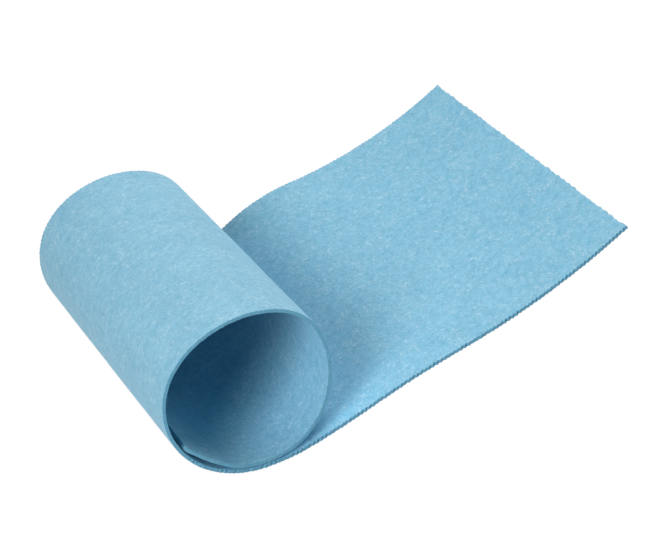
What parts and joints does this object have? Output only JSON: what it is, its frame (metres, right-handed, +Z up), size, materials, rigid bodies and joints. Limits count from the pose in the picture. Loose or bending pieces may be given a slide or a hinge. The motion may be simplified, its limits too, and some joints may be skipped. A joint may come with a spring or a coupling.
{
  "type": "cleaning cloth",
  "caption": "Soft fibre cleaning cloth for wiping, one rectangular sheet with pinked edges, wound at one end into an open roll, the rest lying out in a low wave with its free end curling up.",
  "frame": {"origin": "on the table under the middle of the cloth's extents", "axes": "+Z up from the table, +X from the roll towards the free end, Y along the roll's axis with the near mouth at low Y"},
  "size_m": [0.235, 0.1908, 0.0797],
  "materials": {
    "cloth": "matte, short whitish fibres"
  },
  "bodies": {
    "root": {"cloth_sheet": "cloth"}
  },
  "joints": []
}
